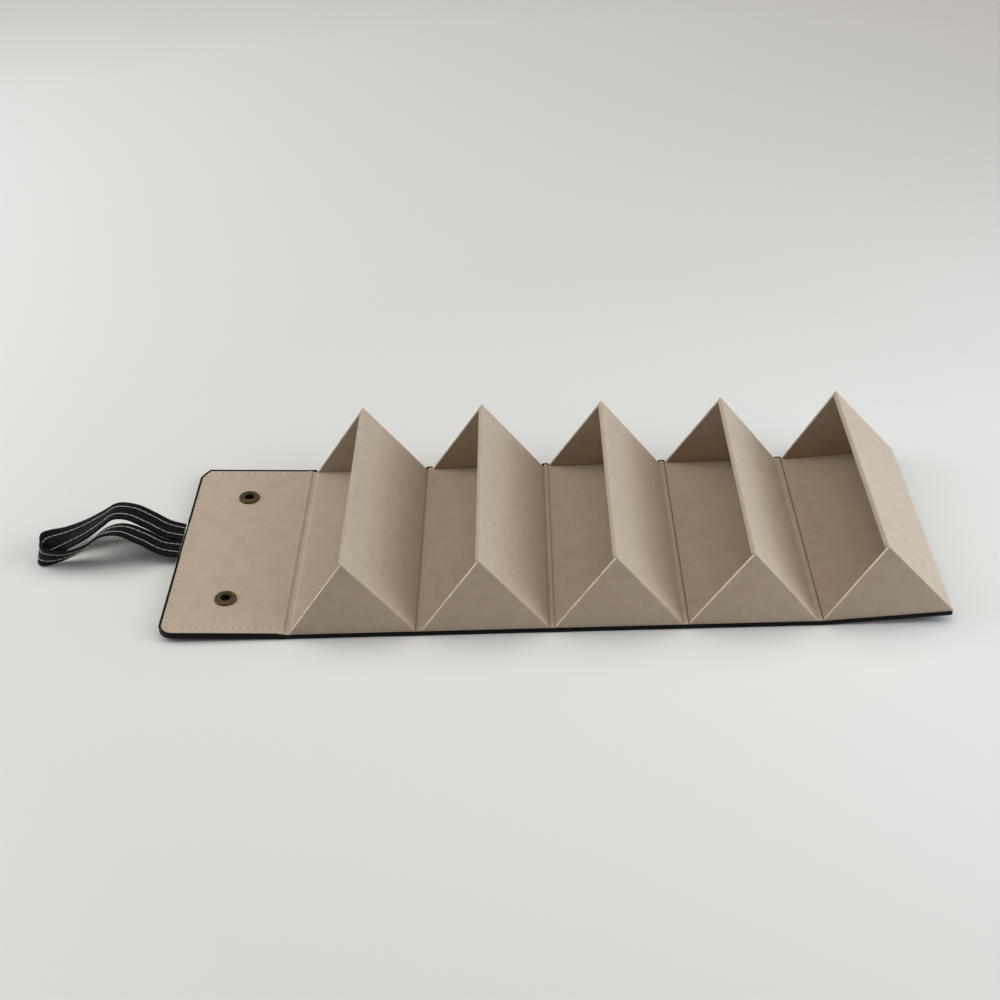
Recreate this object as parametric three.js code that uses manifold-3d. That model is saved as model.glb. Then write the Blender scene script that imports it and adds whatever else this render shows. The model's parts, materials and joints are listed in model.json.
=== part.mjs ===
// Roll-up glasses organiser, lying open: a strip of five triangular compartments on a folding
// cover, a closing flap with two snap fasteners at the left end, and a wrist strap on the flap.
// Millimetres, +X along the strip towards the last compartment, +Y to the rear, +Z up.
// The origin is on the table, under the middle of the third compartment.
import * as THREE from 'three';
import { mergeVertices } from 'three/addons/utils/BufferGeometryUtils.js';
import Module from 'manifold-3d';

const wasm = await Module();
wasm.setup();

// Strip
const PITCH = 76;               // from one fold line to the next
const DEPTH = 166;              // front edge to rear edge
const COMPARTMENTS = 5;
const COVER_THICK = 0.8;        // black leather-look cover
const BOARD_THICK = 1.6;        // greyboard stiffener in the floors and the flap
const LINING_THICK = 0.6;       // beige flock lining
const GLUE_GAP = 0.05;          // between laminated layers
const LINING_INSET = 1;         // how far the cover's edge stands beyond the lining
const GROOVE_AFTER = 1.4;       // from a fold line to the floor on its right
const GROOVE_BEFORE = 2.9;      // from a floor to the fold line on its right
const FOLD_GAP = 0.1;           // each side of a fold line, where two segments meet

// Compartment walls
const APEX_HEIGHT = 48;         // ridge above the lining
const APEX_REACH = 33.6;        // ridge from the floor's left edge
const SLOPE_BOARD = 1.2;        // board inside the sloping wall
const WALL_BOARD = 1;           // board inside an end wall
const SLEEVE_THICK = 0.4;       // flock cloth wrapped round those boards

// Flap and its snaps
const FLAP_LENGTH = 70.9;       // fold line to free edge
const FLAP_CORNER = 9;          // corner radius
const SNAP_REACH = 35.9;        // fold line to snap centres
const SNAP_INSET = 32;          // front and rear edges to snap centres
const SOCKET_RADIUS = 6.5;
const SOCKET_RISE = 1.3;        // rolled rim above the lining
const SOCKET_RIM = 1.2;         // width of the rolled rim
const SOCKET_DISH = 0.4;        // depth of the dish inside the rim
const SOCKET_BASE = 0.35;       // closed bottom of the barrel
const BORE_RADIUS = 3.1;        // the hole that the stud snaps into
const BARREL_WALL = 0.7;
const CAP_RADIUS = 6.5;
const CAP_FLAT = 4;             // radius of the cap's flat face
const CAP_HEIGHT = 1.2;
const POST_RADIUS = 1.5;        // rivet post through the cover
const STUD_RADIUS = 2.8;
const STUD_TIP = 2.3;           // radius of the stud's flat tip
const STUD_HEIGHT = 2.4;
const STUD_FLANGE = 4.5;        // radius of the stud's seat on the cover
const STUD_FLANGE_THICK = 0.3;
const RIVET_RADIUS = 4;         // the stud's back plate, sunk in the board
const HOLE_CLEARANCE = 0.2;

// Rolled shut: the flap closes over the last compartment
const LAST_FOLD_EXTRA = 1;      // degrees that the last compartment tucks in under the flap
const CLOSED_CLEARANCE = 0.2;   // between the last cover and the sockets

// Strap
const STRAP_WIDTH = 16.5;
const STRAP_THICK = 1.5;
const STRAP_OFFSET = 7.5;       // the strap sits this far behind the middle of the flap
const TAIL_GAP = 0.4;           // between the two tails, side by side
const TAIL_LENGTH = 14;         // sewn into the flap
const STRAP_ROOT_GAP = 0.2;

// The strap's route from its rear tail round to its front one, chosen by hand: reach past the flap,
// side from the strap's middle as a share of the tails' spacing, rise above the root, lean in degrees.
const STRAP_ROUTE = [
  [10, 0.5, 3.4, 3],
  [20.5, 0.56, 10, 1],
  [31.5, 0.66, 15, 0],
  [41, 0.68, 15.6, 1],
  [50, 0.64, 10.4, 0],
  [60, 0.48, 5.4, 5],
  [71, 0.18, 3.1, 16],
  [80.5, -0.1, 2.6, 40],
  [83.3, -0.38, 5.2, 94],
  [84, -0.78, 4.8, 98],
  [80, -1.06, 3.8, 67],
  [69, -0.97, 3.5, 50],
  [56, -0.79, 7.4, 36],
  [45, -0.65, 15, 25],
  [34, -0.47, 15.5, 10],
  [21.5, -0.48, 9.7, 5],
  [10.5, -0.5, 2.5, 3],
];

const COVER_FINISH = { color: 0x161513, roughness: 0.55, metalness: 0 };
const BOARD_FINISH = { color: 0x8b857a, roughness: 0.9, metalness: 0 };
const LINING_FINISH = { color: 0xb3a490, roughness: 0.95, metalness: 0 };
const BRASS_FINISH = { color: 0x6b5836, roughness: 0.45, metalness: 0.9 };
const STEEL_FINISH = { color: 0x8d8d8a, roughness: 0.4, metalness: 0.9 };

// Fineness of the solids
const ROUND_STEPS = 24;
const STRAP_STEPS = 56;
const STRAP_ROOT_STEPS = 4;
const MERGE_TOLERANCE = 1e-4;
const CUT_OVERRUN = 1;          // how far a cutting tool passes a face

// Heights of the layers above the table
const STRIP_BASE = COVER_THICK + GLUE_GAP;
const STRIP_TOP = STRIP_BASE + LINING_THICK;
const BOARD_TOP = STRIP_BASE + BOARD_THICK;
const LINING_BASE = BOARD_TOP + GLUE_GAP;
const LINING_TOP = LINING_BASE + LINING_THICK;
const WALL_BASE = LINING_TOP + GLUE_GAP;
const HINGE_HEIGHT = STRIP_TOP;

// Across the strip
const HALF_DEPTH = DEPTH / 2;
const BOARD_HALF = HALF_DEPTH - COVER_THICK - GLUE_GAP;
const LINING_HALF = HALF_DEPTH - LINING_INSET;
const SNAP_SPACING = DEPTH - 2 * SNAP_INSET;

// Along a compartment, from its left fold line
const FLOOR_START = GROOVE_AFTER;
const FLOOR_END = PITCH - GROOVE_BEFORE;
const BOARD_START = FLOOR_START + LINING_THICK + GLUE_GAP;
const BOARD_END = FLOOR_END - LINING_THICK - GLUE_GAP;

const radians = THREE.MathUtils.degToRad;

// The flap's fold stands off the first compartment, so that the closed flap lies outside the
// last cover. Fold lines of the closed roll are worked out in the first compartment's plane.
const FOLD_TURN = 360 / COMPARTMENTS;
const FLAP_TURN = FOLD_TURN - LAST_FOLD_EXTRA;
const FLAP_ALONG = new THREE.Vector2(-Math.cos(radians(FLAP_TURN)), Math.sin(radians(FLAP_TURN)));
const FLAP_INWARD = new THREE.Vector2(FLAP_ALONG.y, -FLAP_ALONG.x);
const CLOSED_FOLD = new THREE.Vector2(PITCH, 0);
for (let turn = 1; turn < COMPARTMENTS - 1; turn += 1) {
  const heading = radians(turn * FOLD_TURN);
  CLOSED_FOLD.add(new THREE.Vector2(Math.cos(heading), Math.sin(heading)).multiplyScalar(PITCH));
}
const CLOSED_ROOM = LINING_TOP + GLUE_GAP + SOCKET_RISE + CLOSED_CLEARANCE;
const FLAP_OFFSET = (CLOSED_ROOM - CLOSED_FOLD.dot(FLAP_INWARD)) / FLAP_INWARD.x;
const STUD_REACH = CLOSED_FOLD.dot(FLAP_ALONG) + FLAP_OFFSET * FLAP_ALONG.x - SNAP_REACH;

// Fold lines along the strip, with the third compartment's middle at zero
const FIRST_FOLD = -PITCH * COMPARTMENTS / 2;
const FLAP_FOLD = FIRST_FOLD - FLAP_OFFSET;
const LAST_FOLD = FIRST_FOLD + PITCH * (COMPARTMENTS - 1);

// A panel that rests on a bump below it tilts about its fold until the bump meets the table.
function restTilt(reach, bump) {
  const drop = HINGE_HEIGHT + bump;
  return Math.atan2(drop, reach) - Math.asin(HINGE_HEIGHT / Math.hypot(reach, drop));
}
const FLAP_TILT = restTilt(SNAP_REACH - CAP_FLAT, CAP_HEIGHT + GLUE_GAP);
const LAST_TILT = restTilt(STUD_REACH - STUD_TIP, STUD_HEIGHT + GLUE_GAP);

function toSolid(geometry) {
  const bare = geometry.index ? geometry.toNonIndexed() : geometry.clone();
  bare.deleteAttribute('normal');
  bare.deleteAttribute('uv');
  const merged = mergeVertices(bare, MERGE_TOLERANCE);
  return new wasm.Manifold(new wasm.Mesh({
    numProp: 3,
    vertProperties: merged.attributes.position.array,
    triVerts: merged.index.array,
  }));
}

function toGeometry(solid) {
  const mesh = solid.getMesh();
  const geometry = new THREE.BufferGeometry();
  geometry.setAttribute('position', new THREE.BufferAttribute(mesh.vertProperties, 3));
  geometry.setIndex(new THREE.BufferAttribute(mesh.triVerts, 1));
  geometry.computeVertexNormals();
  return geometry;
}

function cut(geometry, ...tools) {
  let solid = toSolid(geometry);
  for (const tool of tools) {
    solid = solid.subtract(toSolid(tool));
  }
  return toGeometry(solid);
}

function join(geometry, ...others) {
  let solid = toSolid(geometry);
  for (const other of others) {
    solid = solid.add(toSolid(other));
  }
  return toGeometry(solid);
}

function box(x0, x1, y0, y1, z0, z1) {
  const geometry = new THREE.BoxGeometry(x1 - x0, y1 - y0, z1 - z0);
  return geometry.translate((x0 + x1) / 2, (y0 + y1) / 2, (z0 + z1) / 2);
}

// A flat outline in X and Y, given thickness in Z.
function slab(outline, z0, z1) {
  const settings = { depth: z1 - z0, bevelEnabled: false, curveSegments: ROUND_STEPS / 4 };
  return new THREE.ExtrudeGeometry(outline, settings).translate(0, 0, z0);
}

// An outline in X and Z, drawn out along Y.
function section(points, y0, y1) {
  const outline = new THREE.Shape(points);
  const settings = { depth: y1 - y0, bevelEnabled: false };
  return new THREE.ExtrudeGeometry(outline, settings).rotateX(Math.PI / 2).translate(0, y1, 0);
}

// A profile of radius and height, turned round a vertical axis at (x, y).
function turned(profile, x, y) {
  const points = profile.map(([radius, height]) => new THREE.Vector2(radius, height));
  return new THREE.LatheGeometry(points, ROUND_STEPS).rotateX(Math.PI / 2).translate(x, y, 0);
}

function rod(radius, z0, z1, x, y) {
  return turned([[0, z0], [radius, z0], [radius, z1], [0, z1]], x, y);
}

function piece(name, geometry, finish) {
  const mesh = new THREE.Mesh(geometry, new THREE.MeshStandardMaterial(finish));
  mesh.name = name;
  return mesh;
}

const point = (x, z) => new THREE.Vector2(x, z);
const frontAndRear = (spacing) => [['front', -spacing / 2], ['rear', spacing / 2]];

// Cutting tools for the two snaps' holes.
function snapHoles(radius, x) {
  const top = LINING_TOP + CUT_OVERRUN;
  return frontAndRear(SNAP_SPACING).map(([, y]) => rod(radius, -CUT_OVERRUN, top, x, y));
}

// Compartment cover: a flat sheet whose front and rear edges are turned up beside the board.
function compartmentCover(start, end, isLast) {
  const rimStart = BOARD_START;
  const rimEnd = isLast ? end : BOARD_END;
  const sheet = box(start, end, -HALF_DEPTH, HALF_DEPTH, 0, COVER_THICK);
  const rims = [
    box(rimStart, rimEnd, -HALF_DEPTH, COVER_THICK - HALF_DEPTH, 0, BOARD_TOP),
    box(rimStart, rimEnd, HALF_DEPTH - COVER_THICK, HALF_DEPTH, 0, BOARD_TOP),
  ];
  if (isLast) {
    rims.push(box(end - COVER_THICK, end, -HALF_DEPTH, HALF_DEPTH, 0, BOARD_TOP));
  }
  return join(sheet, ...rims);
}

// Floor lining: lies on the board and dips to the cover in the fold grooves.
function floorLining(start, end, isLast) {
  const points = [
    point(start, STRIP_TOP),
    point(start, STRIP_BASE),
    point(BOARD_START - GLUE_GAP, STRIP_BASE),
    point(BOARD_START - GLUE_GAP, LINING_BASE),
  ];
  if (isLast) {
    points.push(point(FLOOR_END, LINING_BASE), point(FLOOR_END, LINING_TOP));
  } else {
    points.push(
      point(BOARD_END + GLUE_GAP, LINING_BASE),
      point(BOARD_END + GLUE_GAP, STRIP_BASE),
      point(end, STRIP_BASE),
      point(end, STRIP_TOP),
      point(FLOOR_END, STRIP_TOP),
      point(FLOOR_END, LINING_TOP),
    );
  }
  points.push(point(FLOOR_START, LINING_TOP), point(FLOOR_START, STRIP_TOP));
  return section(points, -LINING_HALF, LINING_HALF);
}

// Places on the sloping wall: distance up from its foot, depth in from its outer face.
const SLOPE_FOOT = point(FLOOR_END, WALL_BASE);
const RIDGE = point(FLOOR_START + APEX_REACH, LINING_TOP + APEX_HEIGHT);
const SLOPE_UP = RIDGE.clone().sub(SLOPE_FOOT).normalize();
const SLOPE_IN = point(-SLOPE_UP.y, SLOPE_UP.x);
const SLOPE_LENGTH = RIDGE.distanceTo(SLOPE_FOOT);
const SLOPE_THICK = SLOPE_BOARD + 2 * (SLEEVE_THICK + GLUE_GAP);
const WALL_THICK = WALL_BOARD + 2 * (SLEEVE_THICK + GLUE_GAP);

function slopePoint(up, depth) {
  return SLOPE_FOOT.clone().addScaledVector(SLOPE_UP, up).addScaledVector(SLOPE_IN, depth);
}

function slopeFoot(depth) {
  return slopePoint(-SLOPE_IN.y * depth / SLOPE_UP.y, depth);
}

// The cloth is wrapped over the ridge and hangs down both faces of the board.
function slopeSleeve(y0, y1) {
  const top = SLOPE_LENGTH - SLEEVE_THICK;
  return section([
    slopeFoot(0),
    slopePoint(SLOPE_LENGTH, 0),
    slopePoint(SLOPE_LENGTH, SLOPE_THICK),
    slopeFoot(SLOPE_THICK),
    slopeFoot(SLOPE_THICK - SLEEVE_THICK),
    slopePoint(top, SLOPE_THICK - SLEEVE_THICK),
    slopePoint(top, SLEEVE_THICK),
    slopeFoot(SLEEVE_THICK),
  ], y0, y1);
}

function slopeBoard(y0, y1) {
  const inset = SLEEVE_THICK + GLUE_GAP;
  const top = SLOPE_LENGTH - inset;
  return section([
    slopeFoot(inset),
    slopePoint(top, inset),
    slopePoint(top, SLOPE_THICK - inset),
    slopeFoot(SLOPE_THICK - inset),
  ], y0, y1);
}

// An end wall's triangle, drawn in from its two upper edges.
function wallTriangle(inset, foot) {
  const left = point(FLOOR_START, WALL_BASE);
  const leftUp = RIDGE.clone().sub(left).normalize();
  const slide = (corner, along) => corner.clone().addScaledVector(along, (foot - corner.y) / along.y);
  const leftCorner = slide(left.add(point(inset / leftUp.y, 0)), leftUp);
  const rightCorner = slide(SLOPE_FOOT.clone().sub(point(inset / SLOPE_UP.y, 0)), SLOPE_UP);
  const across = rightCorner.x - leftCorner.x;
  const spread = leftUp.x / leftUp.y - SLOPE_UP.x / SLOPE_UP.y;
  const height = across / spread;
  return [leftCorner, rightCorner, point(leftCorner.x + height * leftUp.x / leftUp.y, foot + height)];
}

function endWall(label, number, y0, y1) {
  const pocketFoot = WALL_BASE - SLEEVE_THICK;
  const pocket = section(wallTriangle(SLEEVE_THICK, pocketFoot), y0 + SLEEVE_THICK, y1 - SLEEVE_THICK);
  const inset = SLEEVE_THICK + GLUE_GAP;
  const sleeve = cut(section(wallTriangle(0, WALL_BASE), y0, y1), pocket);
  const board = section(wallTriangle(inset, WALL_BASE), y0 + inset, y1 - inset);
  return [
    piece(`${label}_wall_board_${number}`, board, BOARD_FINISH),
    piece(`${label}_wall_sleeve_${number}`, sleeve, LINING_FINISH),
  ];
}

// Stud: a rivet through the cover, with a snap head below and a back plate in the board.
function studProfile() {
  const seat = -GLUE_GAP;
  const neck = seat - STUD_FLANGE_THICK;
  const tip = seat - STUD_HEIGHT;
  const bulge = (neck + tip) / 2;
  return [
    [0, tip],
    [STUD_TIP, tip],
    [STUD_RADIUS, bulge],
    [STUD_TIP, neck],
    [STUD_FLANGE, neck],
    [STUD_FLANGE, seat],
    [POST_RADIUS, seat],
    [POST_RADIUS, COVER_THICK],
    [0, COVER_THICK],
  ];
}

function compartment(number) {
  const group = new THREE.Group();
  const isLast = number === COMPARTMENTS;
  const start = (number === 1 ? -FLAP_OFFSET : 0) + FOLD_GAP;
  const end = isLast ? FLOOR_END : PITCH - FOLD_GAP;
  const boardEnd = isLast ? end - COVER_THICK - GLUE_GAP : BOARD_END;
  let cover = compartmentCover(start, end, isLast);
  let board = box(BOARD_START, boardEnd, -BOARD_HALF, BOARD_HALF, STRIP_BASE, BOARD_TOP);
  if (isLast) {
    cover = cut(cover, ...snapHoles(POST_RADIUS + HOLE_CLEARANCE, STUD_REACH));
    board = cut(board, ...snapHoles(RIVET_RADIUS + HOLE_CLEARANCE, STUD_REACH));
    for (const [row, y] of frontAndRear(SNAP_SPACING)) {
      const rivet = rod(RIVET_RADIUS, STRIP_BASE + GLUE_GAP, BOARD_TOP, STUD_REACH, y);
      group.add(piece(`snap_stud_${row}`, turned(studProfile(), STUD_REACH, y), BRASS_FINISH));
      group.add(piece(`stud_rivet_${row}`, rivet, STEEL_FINISH));
    }
  }
  group.add(piece(`cover_${number}`, cover, COVER_FINISH));
  group.add(piece(`floor_board_${number}`, board, BOARD_FINISH));
  group.add(piece(`floor_lining_${number}`, floorLining(start, end, isLast), LINING_FINISH));

  const slopeHalf = LINING_HALF - WALL_THICK - GLUE_GAP;
  group.add(piece(`slope_board_${number}`, slopeBoard(-slopeHalf, slopeHalf), BOARD_FINISH));
  group.add(piece(`slope_sleeve_${number}`, slopeSleeve(-slopeHalf, slopeHalf), LINING_FINISH));
  group.add(...endWall('front', number, -LINING_HALF, WALL_THICK - LINING_HALF));
  group.add(...endWall('rear', number, LINING_HALF - WALL_THICK, LINING_HALF));
  return group;
}

// Flap outline in its own plane, from `near` by the fold to its rounded free edge.
function flapOutline(near, inset) {
  const far = inset - FLAP_LENGTH;
  const side = HALF_DEPTH - inset;
  const corner = FLAP_CORNER - inset;
  const outline = new THREE.Shape();
  outline.moveTo(near, -side);
  outline.lineTo(near, side);
  outline.lineTo(far + corner, side);
  outline.absarc(far + corner, side - corner, corner, Math.PI / 2, Math.PI);
  outline.lineTo(far, corner - side);
  outline.absarc(far + corner, corner - side, corner, Math.PI, Math.PI * 1.5);
  return outline;
}

// The strap's tails are thinned to lie in a slot in the board.
const TAIL_BASE = STRIP_BASE + GLUE_GAP;
const TAIL_TOP = BOARD_TOP - GLUE_GAP;
const TAIL_SPACING = STRAP_WIDTH + TAIL_GAP;
const BARREL_RADIUS = BORE_RADIUS + BARREL_WALL;

// Socket: a dished plate with a rolled rim on the lining, and a barrel down to the cover.
function socketProfile() {
  const seat = LINING_TOP + GLUE_GAP;
  const top = seat + SOCKET_RISE;
  const dish = top - SOCKET_DISH;
  const barrelBase = COVER_THICK + 2 * GLUE_GAP;
  const boreBase = barrelBase + SOCKET_BASE;
  return [
    [0, barrelBase],
    [BARREL_RADIUS, barrelBase],
    [BARREL_RADIUS, seat],
    [SOCKET_RADIUS, seat],
    [SOCKET_RADIUS, dish],
    [SOCKET_RADIUS - SOCKET_RIM / 3, top],
    [SOCKET_RADIUS - SOCKET_RIM * 2 / 3, top],
    [SOCKET_RADIUS - SOCKET_RIM, dish],
    [BORE_RADIUS, dish],
    [BORE_RADIUS, boreBase],
    [0, boreBase],
  ];
}

// Cap: a low dome under the flap with a rivet post through the cover.
function capProfile() {
  const seat = -GLUE_GAP;
  return [
    [0, seat - CAP_HEIGHT],
    [CAP_FLAT, seat - CAP_HEIGHT],
    [CAP_RADIUS, seat - CAP_HEIGHT / 2],
    [CAP_RADIUS, seat],
    [POST_RADIUS, seat],
    [POST_RADIUS, COVER_THICK],
    [0, COVER_THICK],
  ];
}

function flap() {
  const group = new THREE.Group();
  const rimNear = -GROOVE_AFTER - LINING_THICK - GLUE_GAP;
  const tailSide = (TAIL_SPACING + STRAP_WIDTH) / 2 + HOLE_CLEARANCE;
  const tailSlot = box(
    -FLAP_LENGTH - CUT_OVERRUN,
    TAIL_LENGTH + HOLE_CLEARANCE - FLAP_LENGTH,
    STRAP_OFFSET - tailSide,
    STRAP_OFFSET + tailSide,
    STRIP_BASE,
    BOARD_TOP + GLUE_GAP,
  );

  const sheet = slab(flapOutline(-FOLD_GAP, 0), 0, COVER_THICK);
  const postHoles = snapHoles(POST_RADIUS + HOLE_CLEARANCE, -SNAP_REACH);
  const block = slab(flapOutline(rimNear, 0), COVER_THICK / 2, BOARD_TOP);
  const pocket = slab(flapOutline(0, COVER_THICK), 0, LINING_TOP);
  const rim = cut(block, pocket, tailSlot);
  group.add(piece('flap_cover', join(cut(sheet, ...postHoles), rim), COVER_FINISH));

  const boardInset = COVER_THICK + GLUE_GAP;
  const barrelHoles = snapHoles(BARREL_RADIUS + HOLE_CLEARANCE, -SNAP_REACH);
  const board = slab(flapOutline(rimNear, boardInset), STRIP_BASE, BOARD_TOP);
  group.add(piece('flap_board', cut(board, tailSlot, ...barrelHoles), BOARD_FINISH));

  const liningNear = -GROOVE_AFTER;
  const lining = slab(flapOutline(liningNear, LINING_INSET), LINING_BASE, LINING_TOP);
  const dipped = section([
    point(-FOLD_GAP, STRIP_BASE),
    point(-FOLD_GAP, STRIP_TOP),
    point(liningNear, STRIP_TOP),
    point(liningNear, LINING_TOP),
    point(liningNear - LINING_THICK, LINING_TOP),
    point(liningNear - LINING_THICK, STRIP_BASE),
  ], -LINING_HALF, LINING_HALF);
  group.add(piece('flap_lining', join(cut(lining, ...barrelHoles), dipped), LINING_FINISH));

  for (const [row, y] of frontAndRear(SNAP_SPACING)) {
    group.add(piece(`snap_socket_${row}`, turned(socketProfile(), -SNAP_REACH, y), BRASS_FINISH));
    group.add(piece(`snap_cap_${row}`, turned(capProfile(), -SNAP_REACH, y), BRASS_FINISH));
  }
  for (const [row, side] of frontAndRear(TAIL_SPACING)) {
    const y = STRAP_OFFSET + side;
    const half = STRAP_WIDTH / 2;
    const tail = box(-FLAP_LENGTH, TAIL_LENGTH - FLAP_LENGTH, y - half, y + half, TAIL_BASE, TAIL_TOP);
    group.add(piece(`strap_tail_${row}`, tail, COVER_FINISH));
  }
  return group;
}

// Strap loop: one flat band that leaves the flap beside itself, arches up and comes back round.
// Its two root ends are rounded about the line on which it swings.
function strapLoop() {
  const rows = [[0, 0.5, 0, 0], ...STRAP_ROUTE, [0, -0.5, 0, 0]];
  const places = rows.map(([reach, side, rise]) => new THREE.Vector3(-reach, side * TAIL_SPACING, rise));
  const route = new THREE.CatmullRomCurve3(places, false, 'centripetal');
  const leans = rows.map((row) => row[3]);
  const half = STRAP_THICK / 2;
  const up = new THREE.Vector3(0, 0, 1);
  const rings = [];

  const addRing = (middle, forward, lean, thick) => {
    const outward = new THREE.Vector3().crossVectors(forward, up).normalize();
    const across = outward.multiplyScalar(Math.cos(lean)).addScaledVector(up, Math.sin(lean));
    const face = new THREE.Vector3().crossVectors(across, forward).normalize();
    across.multiplyScalar(STRAP_WIDTH / 2);
    face.multiplyScalar(thick);
    rings.push([
      middle.clone().sub(across).sub(face),
      middle.clone().add(across).sub(face),
      middle.clone().add(across).add(face),
      middle.clone().sub(across).add(face),
    ]);
  };

  const roundRoot = (share, sign) => {
    const angle = share * Math.PI / 2;
    const middle = new THREE.Vector3(half * Math.cos(angle), sign * TAIL_SPACING / 2, 0);
    addRing(middle, new THREE.Vector3(-sign, 0, 0), 0, half * Math.sin(angle));
  };

  for (let step = 1; step <= STRAP_ROOT_STEPS; step += 1) {
    roundRoot(step / STRAP_ROOT_STEPS, 1);
  }
  for (let step = 1; step < STRAP_STEPS; step += 1) {
    const along = step / STRAP_STEPS;
    const place = along * (rows.length - 1);
    const row = Math.floor(place);
    const lean = radians(THREE.MathUtils.lerp(leans[row], leans[row + 1], place - row));
    addRing(route.getPoint(along), route.getTangent(along), lean, half);
  }
  for (let step = STRAP_ROOT_STEPS; step >= 1; step -= 1) {
    roundRoot(step / STRAP_ROOT_STEPS, -1);
  }

  const vertices = rings.flat().flatMap((corner) => corner.toArray());
  const faces = [[0, 1, 2], [0, 2, 3]];
  const last = 4 * (rings.length - 1);
  const indices = faces.flatMap(([a, b, c]) => [a, b, c, last + a, last + c, last + b]);
  for (let ring = 0; ring < rings.length - 1; ring += 1) {
    for (let side = 0; side < 4; side += 1) {
      const a = 4 * ring + side;
      const b = 4 * ring + (side + 1) % 4;
      indices.push(a, a + 4, b, b, a + 4, b + 4);
    }
  }
  const geometry = new THREE.BufferGeometry();
  geometry.setAttribute('position', new THREE.Float32BufferAttribute(vertices, 3));
  geometry.setIndex(indices);
  geometry.computeVertexNormals();
  return geometry;
}

// A group that turns about a fold line at the given place along the strip.
function foldGroup(foldX, turn, contents) {
  const fold = new THREE.Group();
  fold.position.set(foldX, 0, HINGE_HEIGHT);
  fold.rotation.y = turn;
  contents.position.set(0, 0, -HINGE_HEIGHT);
  fold.add(contents);
  return fold;
}

const organiser = new THREE.Group();
for (let number = 1; number < COMPARTMENTS; number += 1) {
  const held = compartment(number);
  held.position.x = FIRST_FOLD + (number - 1) * PITCH;
  organiser.add(held);
}
organiser.add(foldGroup(LAST_FOLD, -LAST_TILT, compartment(COMPARTMENTS)));

const flapGroup = foldGroup(FLAP_FOLD, FLAP_TILT, flap());
organiser.add(flapGroup);

const strapRoot = new THREE.Vector3(
  -FLAP_LENGTH - STRAP_ROOT_GAP - STRAP_THICK / 2,
  STRAP_OFFSET,
  (TAIL_BASE + TAIL_TOP) / 2 - HINGE_HEIGHT,
);
flapGroup.updateMatrixWorld(true);
const strap = piece('strap_loop', strapLoop(), COVER_FINISH);
strap.position.copy(flapGroup.localToWorld(strapRoot));
organiser.add(strap);

export default organiser;
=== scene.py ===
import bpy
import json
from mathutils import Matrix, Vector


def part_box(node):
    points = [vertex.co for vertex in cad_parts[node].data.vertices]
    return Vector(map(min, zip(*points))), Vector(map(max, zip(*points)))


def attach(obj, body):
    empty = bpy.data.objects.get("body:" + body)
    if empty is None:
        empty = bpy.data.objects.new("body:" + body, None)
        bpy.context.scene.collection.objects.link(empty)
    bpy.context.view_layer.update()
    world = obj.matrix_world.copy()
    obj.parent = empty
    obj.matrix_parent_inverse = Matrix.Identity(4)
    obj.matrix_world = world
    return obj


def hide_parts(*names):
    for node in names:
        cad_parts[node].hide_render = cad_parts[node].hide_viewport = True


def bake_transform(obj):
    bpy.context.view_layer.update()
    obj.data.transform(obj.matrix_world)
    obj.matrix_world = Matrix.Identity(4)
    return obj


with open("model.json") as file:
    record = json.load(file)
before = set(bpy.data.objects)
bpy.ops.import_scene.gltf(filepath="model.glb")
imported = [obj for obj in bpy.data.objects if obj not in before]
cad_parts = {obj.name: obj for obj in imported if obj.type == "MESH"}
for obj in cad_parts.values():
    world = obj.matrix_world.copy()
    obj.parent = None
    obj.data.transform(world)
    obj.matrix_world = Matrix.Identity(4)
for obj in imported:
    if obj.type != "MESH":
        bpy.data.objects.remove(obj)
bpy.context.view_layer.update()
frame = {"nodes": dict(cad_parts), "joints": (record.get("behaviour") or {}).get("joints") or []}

import json
import math

import bmesh
import bpy
from mathutils import Matrix, Vector

# Camera: in front of the strip and above it, looking a little to the left, as the photograph was
# taken. The place and turn come from fitting the folds and ridges to the photograph.
CAMERA_LENS = 54
CAMERA_PLACE = Vector((-0.0476, -0.7327, 0.5576))
CAMERA_TILT = 54.46
CAMERA_YAW = 1.54
CAMERA_ROLL = -2.5

camera = bpy.data.objects.new("camera", bpy.data.cameras.new("camera"))
camera.data.lens = CAMERA_LENS
camera.matrix_world = (
    Matrix.Translation(CAMERA_PLACE)
    @ Matrix.Rotation(math.radians(CAMERA_YAW), 4, "Z")
    @ Matrix.Rotation(math.radians(CAMERA_TILT), 4, "X")
    @ Matrix.Rotation(math.radians(CAMERA_ROLL), 4, "Z")
)
bpy.context.scene.collection.objects.link(camera)
bpy.context.scene.camera = camera
bpy.context.scene.view_settings.view_transform = "Standard"

# Cover: black leather-look sheet (polyurethane on cloth) under the whole strip. Its edges are turned
# up round the boards and glued, and on the flap they make a lip round the lining. Sizes are in mm.
# An embossed pebble grain under a satin film: small soft highlights on near-black.
MM = 0.001
PITCH = 76.0
HALF_DEPTH = 83.0
COVER_THICK = 0.8
COVER_SOFT = 0.32
RIM_TOP = 2.45
RIM_CHAMFER = 0.1
BOARD_START = 2.05
BOARD_END = 72.45
STRIP_END = 73.1
LAST_CORNER = 1.6
FLAP_LENGTH = 70.9
FLAP_CORNER = 9.0
FLAP_RIM_TOP = 3.5
FLAP_RIM_SOFT = 0.5
FLAP_LIP = 1.2
LIP_BASE = RIM_TOP + 0.04
REAR_CUT = 0.8            # how straight the flap's rear corner is cut, from 0 (round) to 1
CUT_REACH = 0.55          # the cut's length along the strip, as a share of its depth
SNAP_REACH = 35.9
SNAP_SIDE = 51.0
POST_HOLE = 1.7
HOLE_STEPS = 24
CORNER_STEPS = 10
STRAP_SLOT = (-9.5, 24.5)
SLOT_SLOPE = 0.3
SLOT_TOP = COVER_THICK + 0.02
MERGE_GAP = 0.002
SHARP_ANGLE = 40
GRAIN_SIZE = 0.9          # drawn a little coarser than the real 0.6 mm pebbles, to show
PATCH_SIZE = 14.0
COVER_ROUGHNESS = 0.5
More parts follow.
